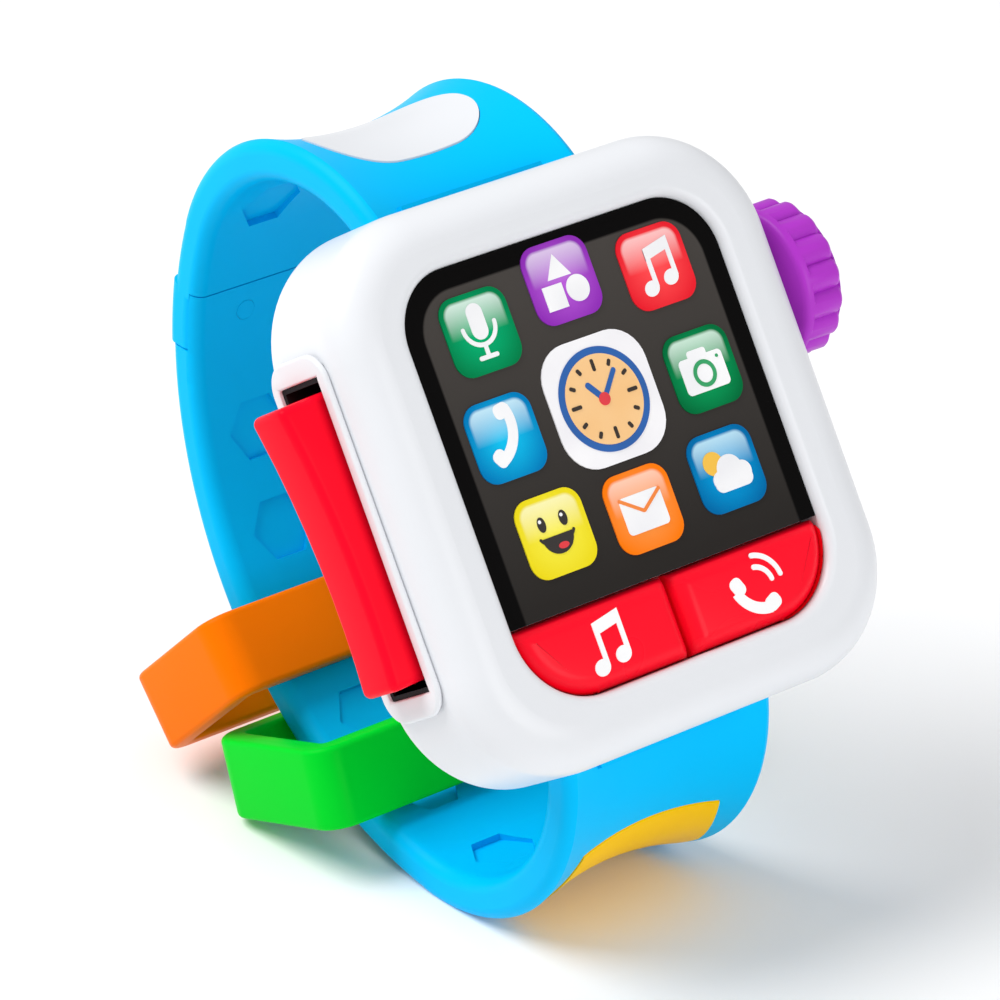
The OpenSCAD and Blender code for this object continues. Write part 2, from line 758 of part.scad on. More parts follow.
// Upper strap: top bend, start of the back curve and the outer half of the lap joint
module strap_upper() {
    color("deepskyblue") difference() {
        union() {
            difference() {
                sweep([bend_y, bend_z], -join_a - join_lap, case_a) strap_section(bend_r, 0);
                case_envelope();
            }
            strap_root(1);
            difference() {
                union() {
                    sweep([0, back_z], lap_root - 1, -join_a) strap_section(back_r, join_step);
                    sweep([0, back_z], lap_tip, lap_root) strap_section(back_r + lap_rise, 2 * join_step);
                }
                sweep([0, back_z], lap_tip - 1, lap_root)
                    band_section(back_r - strap_t - 1, back_r - strap_t + tongue_t + seat_c);
            }
        }
        root_holes(1);
        stud_holes(stud_r + seat_c / 2);
        label_inlay(seat_c);
        grips([bend_y, bend_z], bend_r - strap_t, [45, 10, -25]);
    }
}

// Lower strap: tongue of the lap joint, back curve and bottom bend, cut flat at its foot
module strap_lower() {
    color("deepskyblue") difference() {
        union() {
            difference() {
                sweep([-bend_y, bend_z], -180 - case_a, -180 + join_a + join_lap) strap_section(bend_r, 0);
                case_envelope();
            }
            strap_root(-1);
            difference() {
                sweep([0, back_z], -180 + join_a, lap_root - lap_c) strap_section(back_r, join_step);
                sweep([0, back_z], lap_tip - lap_c, lap_root + 1)
                    band_section(back_r - strap_t + tongue_t, back_r + 1);
            }
        }
        root_holes(-1);
        stud_holes(stud_r + seat_c / 2);
        patch_inlay(seat_c);
        grips([-bend_y, bend_z], bend_r - strap_t, [-155, -190, -225]);
        grips([0, back_z], back_r - strap_t, [-70, -85, -100, -115, -130]);
        foot_cut();
    }
}

// Space below the floor, in the face frame
module foot_cut() {
    rotate([lean - 90, 0, 0]) translate([-strap_w, -2 * loop_h, floor_z - 20]) cube([2 * strap_w, 4 * loop_h, 20]);
}

// Studs that snap the lap joint together
module strap_studs() {
    color("deepskyblue") for (s = [-1, 1]) outward([0, back_z], lap_tip + lap_a / 2)
        translate([0, s * stud_x, back_r - strap_t]) cylinder(r = stud_r, h = strap_t - strap_dish);
}

// Screws that hold the strap's root tabs
module strap_screws() {
    color("silver") for (sx = [-1, 1], sy = [-1, 1])
        translate([sx * root_screw_x, sy * root_screw_y, root_z + root_t / 2 + 1]) mirror([0, 0, 1]) screw(6, 1);
}

// Space of an inlay in the outer face of a bend, inside a flat outline
module inlay(y, a, grow) {
    intersection() {
        sweep([y, bend_z], a - 40, a + 40) dish_layer(bend_r, inlay_t + grow, inlay_proud + grow);
        outward([y, bend_z], a) linear_extrude(2 * bend_r) children();
    }
}

// Oval inlay of the label
module label_inlay(grow) {
    inlay(bend_y, label_a, grow) round_rect(label_w + 2 * grow, label_l + 2 * grow, label_r + grow, label_r + grow);
}

// Six-sided inlay of the patch
module patch_inlay(grow) {
    l = patch_l / 2 + grow;
    e = patch_edge * l;
    w = patch_w / 2 + grow;
    inlay(-bend_y, -180 - patch_a, grow) polygon([[w, -e], [w, e], [0, l], [-w, e], [-w, -e], [0, -l]]);
}

// Bare oval label on the upper strap
module strap_label() {
    color("white") label_inlay(0);
}

// Plain coloured patch under the lower strap
module strap_patch() {
    color("gold") patch_inlay(0);
}

// Ring tag round the strap, at an angle of the back curve, tipped from square to the strap
module ring_tag(a, r, turn) {
    outward([0, back_z], a) translate([0, 0, r]) rotate([0, turn, 0])
        rotate([90, 0, 90]) translate([0, 0, -tag_h / 2]) linear_extrude(tag_h) difference() {
            round_rect(tag_l, tag_d, tag_corner, tag_corner);
            round_rect(tag_l - 2 * tag_wall, tag_d - 2 * tag_wall, tag_corner - tag_wall, tag_corner - tag_wall);
        }
}

// Green ring tag
module green_tag() {
    color("limegreen") ring_tag(green_a, green_r, green_turn);
}

// Orange ring tag
module orange_tag() {
    color("darkorange") ring_tag(orange_a, orange_r, 0);
}

stand() front_case();
stand() back_case();
stand() screen_window();
stand() screen_card();
stand() push_button(-1);  // left_button
stand() push_button(1);  // right_button
stand() button_domes();
stand() circuit_board();
stand() screen_lamp();
stand() sound_chip();
stand() speaker();
stand() battery_cells();
stand() battery_contacts();
stand() battery_door();
stand() door_screw();
stand() case_screws();
stand() rocker_frame();
stand() power_rocker();
stand() rocker_pin();
stand() switch_well();
stand() power_switch();
stand() crown_knob();
stand() crown_shaft();
stand() crown_ratchet();
stand() click_leaf();
stand() strap_upper();
stand() strap_lower();
stand() strap_studs();
stand() strap_screws();
stand() strap_label();
stand() strap_patch();
stand() green_tag();
stand() orange_tag();
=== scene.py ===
import json
import math

import bpy
from mathutils import Matrix, Vector


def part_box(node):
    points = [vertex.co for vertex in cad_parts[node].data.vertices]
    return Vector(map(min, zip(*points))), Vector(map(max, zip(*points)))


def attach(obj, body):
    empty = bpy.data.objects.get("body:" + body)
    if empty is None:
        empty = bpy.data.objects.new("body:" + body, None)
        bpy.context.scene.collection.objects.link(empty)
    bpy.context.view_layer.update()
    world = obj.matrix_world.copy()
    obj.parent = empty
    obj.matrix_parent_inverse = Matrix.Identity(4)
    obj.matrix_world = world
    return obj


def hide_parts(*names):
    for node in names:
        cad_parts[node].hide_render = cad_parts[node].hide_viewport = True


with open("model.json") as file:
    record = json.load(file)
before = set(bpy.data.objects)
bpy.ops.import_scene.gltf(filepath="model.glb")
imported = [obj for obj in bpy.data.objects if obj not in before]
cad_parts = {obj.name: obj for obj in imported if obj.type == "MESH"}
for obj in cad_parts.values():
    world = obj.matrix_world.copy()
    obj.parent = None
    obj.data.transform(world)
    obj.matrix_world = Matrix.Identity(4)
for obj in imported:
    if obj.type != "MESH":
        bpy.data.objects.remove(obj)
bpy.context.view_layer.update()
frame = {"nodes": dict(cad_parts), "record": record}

bl_info = {
    "name": "Toy Watch Dressing",
    "version": (1, 0, 0),
    "blender": (4, 5, 0),
    "location": "View3D > Sidebar > Toy Watch",
    "description": "Screen pictures, button signs, plastic finishes and a studio for the toy watch",
    "category": "Object",
}

MM = 0.001

# The buttons are pressed square to the face, so their joint gives the face's lean.
PRESS = next(joint for joint in frame["record"]["behaviour"]["joints"]
             if joint["name"] == "left_button_press")
OUT = -Vector(PRESS["axis"]).normalized()
UP = Vector((0, OUT.z, -OUT.y))
LOW, HIGH = (Vector(corner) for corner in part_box("screen_window"))

# Face frame: X right, Y up the face, Z out of it, its middle in the middle of the window.
FACE_TURN = math.atan2(UP.z, UP.y)
FACE_MID = (LOW + HIGH) / 2
FACE = Matrix.Translation(FACE_MID) @ Matrix.Rotation(FACE_TURN, 4, "X")

# How far the window's middle lies above the middle of the case front, and the rim stands out from it, in mm.
WINDOW_UP = 5.9
RIM_OUT = 2.1

# Radius of the rounded edges of each moulding in mm
FRAME_ROUND = 0.45
BUTTON_ROUND = 0.8
ROCKER_ROUND = 1.2
TAG_ROUND = 0.8

# Angle in degrees from which an edge of a moulding is rounded
SHARP_ANGLE = 30
# Faces within this angle in degrees count as one flat
FLAT_ANGLE = 1.5
# Edges below this angle in degrees are shaded smooth
SMOOTH_ANGLE = 35
# Points this near in m are one
MERGE_REACH = 1e-6

# Share of the usual reflection that prints keep, so that their colours stay deep at a slant
PRINT_SHINE = 0.06
# Share of its colour that a metal keeps where it is tarnished
TARNISH = 0.8

# Charcoal middle of the window in mm: its drop below the window's middle, half its width and height, its
# corner, and the heights on it between which it lightens
CHARCOAL_DROP = 6.4
CHARCOAL_HALF = (23.7, 27.6)
CHARCOAL_CORNER = 6.4
CHARCOAL_FADE = (-16.0, 27.0)

# Step from one part of a drawing up to the next, in mm
PART_STEP = 0.004
# Depth of a print in its carrier, in mm
PRINT_BITE = 0.03
# Start of the search for the carrier's surface, in mm out from the window
SEARCH_OUT = 12
# Points round the full ring that an arc is cut from
RING_POINTS = 180
# Steps in a rounded corner
CORNER_STEPS = 8
# Slack at the ends of an arc, in degrees
ARC_SLACK = 0.1

# Top of a picture's second ink over its tile, in thicknesses of the first
SECOND_TOP = 1.6

# Places from the middle of the window in mm
DIAL_AT = (0, 0.6)
TUNE_SIGN_AT = (-13.2, -30.0)
CALL_SIGN_AT = (12.6, -29.9)
# Outer end of the dial's hour marks from its middle in mm
MARKS_REACH = 5.6

# Camera: the way it looks and its right, in the face's own frame
VIEW_AHEAD = Vector((0.565, -0.008, -0.825))
VIEW_ACROSS = Vector((0.825, 0, 0.565))
# Its roll, as shares of that right and of up the face
ROLL_ACROSS, ROLL_UP = 0.941, -0.337
# Pixels from the picture's middle to the middle of the case front, and the focal length in pixels
AIM_RIGHT, AIM_UP = 124.6, 56.6
FOCAL = 5798
# Sensor width in mm, and the nearest distance seen in m
SENSOR = 36
CLIP_START = 0.01

# Point that the soft lights face, in m
LIT_POINT = Vector((0, 0.01, 0.05))
# Places of the lights from it along the picture's right, up and ahead, and their widths, in m
KEY_AT, KEY_WIDE = (-0.8, 0.95, -0.5), 1.0
SIDE_AT, SIDE_WIDE = (0.9, -0.05, -0.95), 0.9
# Side of the floor in m
FLOOR_WIDE = 6


def linear(code):
    """Turns an sRGB hex colour into linear red, green and blue."""
    parts = [int(code[start:start + 2], 16) / 255 for start in (1, 3, 5)]
    return tuple(part / 12.92 if part <= 0.04045 else ((part + 0.055) / 1.055) ** 2.4 for part in parts)


def shade(code, about):
    """A colour property with a hex default."""
    return bpy.props.FloatVectorProperty(name=about, description=about + " of the toy watch",
                                         subtype="COLOR", size=3, min=0, max=1, default=linear(code))


def length(mm, about, detail):
    """A length property given in mm."""
    return bpy.props.FloatProperty(name=about, description=detail, default=mm * MM, min=0, unit="LENGTH",
                                   subtype="DISTANCE", precision=5)


class WatchColours(bpy.types.PropertyGroup):
    """Colours of the watch's plastics and inks"""

    case: shade("#E2E4E8", "Case white")
    screen: shade("#080707", "Screen border")
    charcoal: shade("#474340", "Screen middle")
    red: shade("#FF0A28", "Button red")
    purple: shade("#B234C8", "Crown purple")
    strap: shade("#00BEFA", "Strap blue")
    patch: shade("#FFC800", "Patch yellow")
    green: shade("#00D62C", "Tag green")
    orange: shade("#FF7600", "Tag orange")
    ink: shade("#FFFFFF", "White ink")


class WatchPrint(bpy.types.PropertyGroup):
    """Sizes of the screen pictures and button signs"""

    tile: length(11.0, "Tile size", "Side of a screen tile")
    tile_corner: length(2.6, "Tile corner", "Corner radius of a screen tile")
    dial_tile: length(17.4, "Dial tile size", "Side of the middle tile")
    dial_corner: length(5.2, "Dial tile corner", "Corner radius of the middle tile")
    tile_rise: length(0.2, "Tile thickness", "Thickness of the tile prints")
    ink_rise: length(0.08, "Ink thickness", "Thickness of the ink")
    sign_rise: length(0.1, "Sign thickness", "Thickness of the ink on the buttons")


class WatchStudio(bpy.types.PropertyGroup):
    """Camera and lights"""

    distance: length(773.0, "Camera distance", "From the camera to the middle of the case front")
    lens: bpy.props.FloatProperty(name="Lens", description="Focal length for a 36 mm sensor", default=208.7,
                                  min=50, max=400, unit="CAMERA")
    key: bpy.props.FloatProperty(name="Key light", description="Power of the large soft light",
                                 default=16.0, min=0, unit="POWER")
    fill: bpy.props.FloatProperty(name="Fill light", description="Power of the side light",
                                  default=6.0, min=0, unit="POWER")
    room: bpy.props.FloatProperty(name="Room light", description="Strength of the even white surround",
                                  default=0.5, min=0, max=4)


def colours():
    """The colours as they are set now."""
    return bpy.context.scene.watch_colours


def prints():
    """The print sizes as they are set now."""
    return bpy.context.scene.watch_print


def rest():
    """Leaves edit mode with nothing selected."""
    if bpy.context.object and bpy.context.object.mode != "OBJECT":
        bpy.ops.object.mode_set(mode="OBJECT")
    bpy.ops.object.select_all(action="DESELECT")


# Materials

def put(tree, kind, sockets=None, **settings):
    """Adds one node with its settings, and sets or links its sockets."""
    node = tree.nodes.new(kind)
    for name, value in settings.items():
        setattr(node, name, value)
    for name, value in (sockets or {}).items():
        socket = node.inputs[name]
        if isinstance(value, bpy.types.NodeSocket):
            tree.links.new(value, socket)
        else:
            socket.default_value = value
    return node


def blank(name, colour, roughness, ior=1.5, metallic=0.0):
    """Starts a material with plain values; gives it with its tree, shader and Object coordinates."""
    material = bpy.data.materials.new(name)
    material.use_nodes = True
    material.diffuse_color = (*colour, 1)
    tree = material.node_tree
    tree.nodes.clear()
    shader = put(tree, "ShaderNodeBsdfPrincipled", {
        "Base Color": (*colour, 1), "Roughness": roughness, "IOR": ior, "Metallic": metallic})
    put(tree, "ShaderNodeOutputMaterial", {"Surface": shader.outputs["BSDF"]})
    place = put(tree, "ShaderNodeTexCoord").outputs["Object"]
    return material, tree, shader, place


def per_mm(size):
    """Texture scale for features of a size in mm."""
    return 1 / (size * MM)


def moulded(name, colour, roughness=0.3, ior=1.5, drift=0.06, shine=0.04):
    """Injection-moulded plastic: an even colour with a slight flow drift and a gloss that wanders."""
    material, tree, shader, place = blank(name, colour, roughness, ior)
    shader.inputs["Specular IOR Level"].default_value = shine
    flow = put(tree, "ShaderNodeTexNoise", {"Vector": place, "Scale": per_mm(18), "Detail": 2.0})
    deep = tuple(part * (1 - drift) for part in colour)
    tint = put(tree, "ShaderNodeMix", {"Factor": flow.outputs["Fac"], "A": (*colour, 1), "B": (*deep, 1)},
               data_type="RGBA")
    skin = put(tree, "ShaderNodeTexNoise", {"Vector": place, "Scale": per_mm(7), "Detail": 0.0})
    gloss = put(tree, "ShaderNodeMapRange", {
        "Value": skin.outputs["Fac"], "To Min": roughness * 0.93, "To Max": roughness * 1.07})
    tree.links.new(tint.outputs["Result"], shader.inputs["Base Color"])
    tree.links.new(gloss.outputs["Result"], shader.inputs["Roughness"])
    return material


def rounded_box(tree, place, middle, half, corner):
    """Gives the place on the face in mm, and the distance from a rounded box there, below zero inside it."""
    local = put(tree, "ShaderNodeMapping", {
        "Vector": place, "Location": middle, "Rotation": (FACE_TURN, 0, 0), "Scale": (MM, MM, MM)},
        vector_type="TEXTURE")
    flat = put(tree, "ShaderNodeVectorMath", {0: local.outputs["Vector"], 1: (1, 1, 0)}, operation="MULTIPLY")
    size = put(tree, "ShaderNodeVectorMath", {0: flat.outputs["Vector"]}, operation="ABSOLUTE")
    straight = (half[0] - corner, half[1] - corner, 0)
    core = put(tree, "ShaderNodeVectorMath", {0: size.outputs["Vector"], 1: straight}, operation="SUBTRACT")
    over = put(tree, "ShaderNodeVectorMath", {0: core.outputs["Vector"], 1: (0, 0, 0)}, operation="MAXIMUM")
    reach = put(tree, "ShaderNodeVectorMath", {0: over.outputs["Vector"]}, operation="LENGTH")
    edge = put(tree, "ShaderNodeMath", {0: reach.outputs["Value"], 1: corner}, operation="SUBTRACT")
    return local.outputs["Vector"], edge.outputs["Value"]


def screen_print(name, rim, body, glow, middle, half, corner):
    """Gloss screen print: a deep rim, a body that lightens inwards and a pale sheen on its upper half."""
    material, tree, shader, place = blank(name, body, 0.16, 1.5)
    shader.inputs["Specular IOR Level"].default_value = PRINT_SHINE
    spot, edge = rounded_box(tree, place, middle, (half, half), corner)
    axes = put(tree, "ShaderNodeSeparateXYZ", {"Vector": spot})
    away = put(tree, "ShaderNodeVectorMath", {0: spot, 1: (1, 1, 0)}, operation="MULTIPLY")
    away = put(tree, "ShaderNodeVectorMath", {0: away.outputs["Vector"]}, operation="LENGTH")
    fade = put(tree, "ShaderNodeMapRange", {
        "Value": away.outputs["Value"], "From Min": half * 0.2, "From Max": half * 1.15})
    base = put(tree, "ShaderNodeMix", {"Factor": fade.outputs["Result"], "A": (*body, 1), "B": (*rim, 1)},
               data_type="RGBA")
    inside = put(tree, "ShaderNodeMapRange", {
        "Value": edge, "From Min": -half * 0.2, "From Max": -half * 0.12, "To Min": 1.0, "To Max": 0.0})
    upper = put(tree, "ShaderNodeMapRange", {
        "Value": axes.outputs["Y"], "From Min": -half * 0.05, "From Max": half * 0.85, "To Max": 0.8})
    sheen = put(tree, "ShaderNodeMath", {0: inside.outputs["Result"], 1: upper.outputs["Result"]},
                operation="MULTIPLY")
    tone = put(tree, "ShaderNodeMix", {
        "Factor": sheen.outputs["Value"], "A": base.outputs["Result"], "B": (*glow, 1)}, data_type="RGBA")
    # Grain of the print, drawn coarser than it is so that it shows.
    grain = put(tree, "ShaderNodeTexNoise", {"Vector": place, "Scale": per_mm(0.5), "Detail": 2.0})
    gloss = put(tree, "ShaderNodeMapRange", {"Value": grain.outputs["Fac"], "To Min": 0.12, "To Max": 0.22})
    tree.links.new(tone.outputs["Result"], shader.inputs["Base Color"])
    tree.links.new(gloss.outputs["Result"], shader.inputs["Roughness"])
    return material


def ink(name, colour, dim):
    """Screen-printed ink: opaque, with a slight drift of tone and the grain of the printing mesh."""
    material, tree, shader, place = blank(name, colour, 0.3, 1.48)
    drift = put(tree, "ShaderNodeTexNoise", {"Vector": place, "Scale": per_mm(7), "Detail": 1.0})
    tone = put(tree, "ShaderNodeMix", {"Factor": drift.outputs["Fac"], "A": (*colour, 1), "B": (*dim, 1)},
               data_type="RGBA")
    # Grain of the mesh, drawn coarser than it is so that it shows.
    grain = put(tree, "ShaderNodeTexNoise", {"Vector": place, "Scale": per_mm(0.35), "Detail": 1.0})
    bump = put(tree, "ShaderNodeBump", {
        "Height": grain.outputs["Fac"], "Strength": 0.04, "Distance": 0.02 * MM})
    tree.links.new(tone.outputs["Result"], shader.inputs["Base Color"])
    tree.links.new(bump.outputs["Normal"], shader.inputs["Normal"])
    return material


def black_acrylic():
    """Acrylic printed on its back: a black border and a charcoal middle that darkens downwards."""
    tones = colours()
    material, tree, shader, place = blank("black_printed_acrylic", tuple(tones.screen), 0.12, 1.49)
    shader.inputs["Specular IOR Level"].default_value = PRINT_SHINE
    # The border shows at the top and the sides; the middle runs on past the window's lower edge.
    middle = tuple(FACE @ Vector((0, -CHARCOAL_DROP * MM, 0)))
    spot, edge = rounded_box(tree, place, middle, CHARCOAL_HALF, CHARCOAL_CORNER)
    dark, light = CHARCOAL_FADE
    axes = put(tree, "ShaderNodeSeparateXYZ", {"Vector": spot})
    inside = put(tree, "ShaderNodeMapRange", {
        "Value": edge, "From Min": -0.25, "From Max": 0.1, "To Min": 1.0, "To Max": 0.0})
    fall = put(tree, "ShaderNodeMapRange", {
        "Value": axes.outputs["Y"], "From Min": dark, "From Max": light, "To Min": 0.35})
    share = put(tree, "ShaderNodeMath", {0: inside.outputs["Result"], 1: fall.outputs["Result"]},
                operation="MULTIPLY")
    tone = put(tree, "ShaderNodeMix", {
        "Factor": share.outputs["Value"], "A": (*tones.screen, 1), "B": (*tones.charcoal, 1)},
        data_type="RGBA")
    haze = put(tree, "ShaderNodeTexNoise", {"Vector": place, "Scale": per_mm(9), "Detail": 3.0})
    gloss = put(tree, "ShaderNodeMapRange", {"Value": haze.outputs["Fac"], "To Min": 0.09, "To Max": 0.2})
    tree.links.new(tone.outputs["Result"], shader.inputs["Base Color"])
    tree.links.new(gloss.outputs["Result"], shader.inputs["Roughness"])
    return material


def turned_metal(name, colour, roughness, line):
    """Turned or drawn metal: a fine change of gloss and a little tarnish in the colour."""
    material, tree, shader, place = blank(name, colour, roughness, metallic=1.0)
    lines = put(tree, "ShaderNodeTexNoise", {"Vector": place, "Scale": per_mm(line), "Detail": 4.0})
    gloss = put(tree, "ShaderNodeMapRange", {
        "Value": lines.outputs["Fac"], "To Min": roughness * 0.7, "To Max": roughness * 1.4})
    dull = tuple(part * TARNISH for part in colour)
    spots = put(tree, "ShaderNodeTexNoise", {"Vector": place, "Scale": per_mm(3), "Detail": 2.0})
    tone = put(tree, "ShaderNodeMix", {"Factor": spots.outputs["Fac"], "A": (*colour, 1), "B": (*dull, 1)},
               data_type="RGBA")
    tree.links.new(gloss.outputs["Result"], shader.inputs["Roughness"])
    tree.links.new(tone.outputs["Result"], shader.inputs["Base Color"])
    return material


def wear(nodes, material):
    """Gives CAD nodes their finish."""
    for name in nodes:
        node = frame["nodes"][name]
        if not node.material_slots:
            node.data.materials.append(material)
        for slot in node.material_slots:
            slot.material = material


# Flat drawings, made in mm on the ground plane and then laid on the face

def pick(piece, test):
    """Selects a piece's vertices that pass a test, with what lies between them, and gives their numbers."""
    bpy.ops.object.mode_set(mode="OBJECT")
    vertices = piece.data.vertices
    chosen = [vertex.index for vertex in vertices if test(vertex)]
    bpy.ops.object.mode_set(mode="EDIT")
    bpy.ops.mesh.select_all(action="DESELECT")
    bpy.ops.object.mode_set(mode="OBJECT")
    for index in chosen:
        vertices[index].select = True
    for part in (*piece.data.edges, *piece.data.polygons):
        part.select = all(vertices[index].select for index in part.vertices)
    bpy.ops.object.mode_set(mode="EDIT")
    return chosen


class Drawing:
    """A flat drawing of one ink, each part a hair above the last so that no two tops meet"""

    def __init__(self, name):
        rest()
        bpy.ops.object.add(type="MESH", location=(0, 0, 0))
        self.piece = bpy.context.object
        self.piece.name = self.piece.data.name = name
        self.parts = 0
        bpy.ops.object.mode_set(mode="EDIT")
        bpy.ops.mesh.select_mode(type="VERT")

    def settle(self, x, y, turn):
        """Gives the part just drawn its turn in degrees and its place."""
        self.parts += 1
        if turn:
            bpy.ops.transform.rotate(value=-math.radians(turn), orient_axis="Z", center_override=(0, 0, 0))
        bpy.ops.transform.translate(value=(x * MM, y * MM, self.parts * PART_STEP * MM))

    def spot(self, x, y, wide, tall=None, turn=0.0, corners=48):
        """Draws a filled round or oval, or with few corners a regular polygon."""
        bpy.ops.mesh.primitive_circle_add(vertices=corners, radius=0.5 * MM, fill_type="NGON",
                                          location=(0, 0, 0))
        bpy.ops.transform.resize(value=(wide, wide if tall is None else tall, 1))
        self.settle(x, y, turn)

    def slab(self, x, y, wide, tall, corner=0.0, turn=0.0, skew=0.0):
        """Draws a rounded rectangle; skew lifts its right end."""
        bpy.ops.mesh.primitive_plane_add(size=MM, location=(0, 0, 0))
        bpy.ops.transform.resize(value=(wide, tall, 1))
        if skew:
            drawn = pick(self.piece, lambda vertex: vertex.select)
            pick(self.piece, lambda vertex: vertex.index in drawn and vertex.co.x > 0)
            bpy.ops.transform.translate(value=(0, skew * MM, 0))
            pick(self.piece, lambda vertex: vertex.index in drawn)
        if corner:
            bpy.ops.mesh.bevel(offset=corner * MM, segments=CORNER_STEPS, affect="VERTICES")
        self.settle(x, y, turn)

    def arc(self, x, y, radius, width, start, sweep, ends=True):
        """Draws part of a ring with round ends; angles in degrees from +X."""
        bpy.ops.object.mode_set(mode="OBJECT")
        first = len(self.piece.data.vertices)
        bpy.ops.object.mode_set(mode="EDIT")
        inner, outer = radius - width / 2, radius + width / 2
        bpy.ops.mesh.primitive_circle_add(vertices=RING_POINTS, radius=inner * MM, location=(0, 0, 0))
        bpy.ops.mesh.extrude_region_move()
        bpy.ops.transform.resize(value=(outer / inner, outer / inner, 1), center_override=(0, 0, 0))
        if sweep < 360:
            def past(vertex):
                angle = math.degrees(math.atan2(vertex.co.y, vertex.co.x))
                return vertex.index >= first and (angle - start + ARC_SLACK) % 360 > sweep + 2 * ARC_SLACK

            pick(self.piece, past)
            bpy.ops.mesh.delete(type="VERT")
        pick(self.piece, lambda vertex: vertex.index >= first)
        self.settle(x, y, 0)
        if ends:
            for angle in (math.radians(start), math.radians(start + sweep)):
                self.spot(x + radius * math.cos(angle), y + radius * math.sin(angle), width)

    def lay(self, carrier, x, y, rise, material, body, slot):
        """Lays the drawing on what carries it, square to the face, and gives it its thickness."""
        piece = self.piece
        bpy.ops.mesh.select_mode(type="FACE")
        bpy.ops.mesh.select_all(action="DESELECT")
        bpy.ops.object.mode_set(mode="OBJECT")
        for face in piece.data.polygons:
            face.select = face.normal.z < 0
        bpy.ops.object.mode_set(mode="EDIT")
        bpy.ops.mesh.flip_normals()
        bpy.ops.object.mode_set(mode="OBJECT")
        bpy.context.view_layer.update()
        hit, point = carrier.ray_cast(FACE @ Vector((x * MM, y * MM, SEARCH_OUT * MM)), -OUT)[:2]
        if not hit:
            raise RuntimeError(piece.name + " has nothing under it")
        height = (point - FACE_MID).dot(OUT)
        piece.matrix_world = FACE @ Matrix.Translation((x * MM, y * MM, height + rise))
        thick = piece.modifiers.new("thick", "SOLIDIFY")
        thick.thickness = rise + PRINT_BITE * MM
        thick.offset = -1
        bpy.ops.object.modifier_apply(modifier="thick")
        bpy.ops.object.transform_apply(location=True, rotation=True, scale=True)
        piece.data.materials.append(material)
        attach(piece, body)
        return piece


def soften(node, body, radius, material, steps=4, shows=None):
    """Stands for a CAD node with a copy whose sharp edges are rounded, or those whose ends pass a test."""
    rest()
    bpy.ops.object.add(type="MESH", location=(0, 0, 0))
    piece = bpy.context.object
    piece.data = frame["nodes"][node].data.copy()
    piece.name = piece.data.name = "soft_" + node
    bpy.ops.mesh.customdata_custom_splitnormals_clear()
    bpy.ops.object.mode_set(mode="EDIT")
    bpy.ops.mesh.select_mode(type="EDGE")
    bpy.ops.mesh.select_all(action="SELECT")
    bpy.ops.mesh.remove_doubles(threshold=MERGE_REACH)
    bpy.ops.mesh.dissolve_limited(angle_limit=math.radians(FLAT_ANGLE))
    bpy.ops.mesh.select_all(action="DESELECT")
    bpy.ops.mesh.edges_select_sharp(sharpness=math.radians(SHARP_ANGLE))
    if shows:
        bpy.ops.object.mode_set(mode="OBJECT")
        vertices = piece.data.vertices
        chosen = [edge.index for edge in piece.data.edges
                  if edge.select and shows([vertices[index].co for index in edge.vertices])]
        bpy.ops.object.mode_set(mode="EDIT")
        bpy.ops.mesh.select_all(action="DESELECT")
        bpy.ops.object.mode_set(mode="OBJECT")
        for index in chosen:
            piece.data.edges[index].select = True
        bpy.ops.object.mode_set(mode="EDIT")
    bpy.ops.mesh.bevel(offset=radius * MM, segments=steps, affect="EDGES", clamp_overlap=False)
    bpy.ops.object.mode_set(mode="OBJECT")
    bpy.ops.object.shade_smooth_by_angle(angle=math.radians(SMOOTH_ANGLE))
    piece.data.materials.clear()
    piece.data.materials.append(material)
    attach(piece, body)
    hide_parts(node)
    return piece


# Place of each screen tile from the middle of the window in mm, and its rim, body and sheen colours
TILES = {
    "voice": (-15.0, 14.4, "#007D48", "#04B072", "#EAFBF3"),
    "shapes": (0.0, 17.4, "#8E2FB4", "#B759D6", "#EBDDF3"),
    "tune": (15.3, 15.1, "#E8202E", "#FF4C50", "#FFDAD8"),
    "call": (-16.9, 0.1, "#007AB8", "#10BEEC", "#D8F6FF"),
    "photo": (16.9, -0.1, "#006C3A", "#08A45E", "#E0F8EA"),
    "smile": (-14.5, -14.0, "#EAD71C", "#F6EB45", "#FBF8C8"),
    "letter": (0.0, -15.0, "#FA7A0C", "#F99A4D", "#FBD9C6"),
    "weather": (15.0, -13.9, "#0068A4", "#02A0DE", "#CCF0FC"),
}


class WATCH_OT_case(bpy.types.Operator):
    """Finish the case shells and the battery door in gloss white, and round the rocker frame"""

    bl_idname = "watch.case"
    bl_label = "Case"

    def execute(self, context):
        # ABS, moulded in a polished tool: bright white, soft wide reflections.
        white = moulded("white_gloss_abs", tuple(colours().case), roughness=0.3, drift=0.02, shine=0.4)
        wear(("front_case", "back_case", "battery_door"), white)
        soften("rocker_frame", "watch", FRAME_ROUND, white)
        return {"FINISHED"}


class WATCH_OT_window(bpy.types.Operator):
    """Finish the window and the card behind it"""

    bl_idname = "watch.window"
    bl_label = "Window"

    def execute(self, context):
        wear(("screen_window", "screen_card"), black_acrylic())
        return {"FINISHED"}


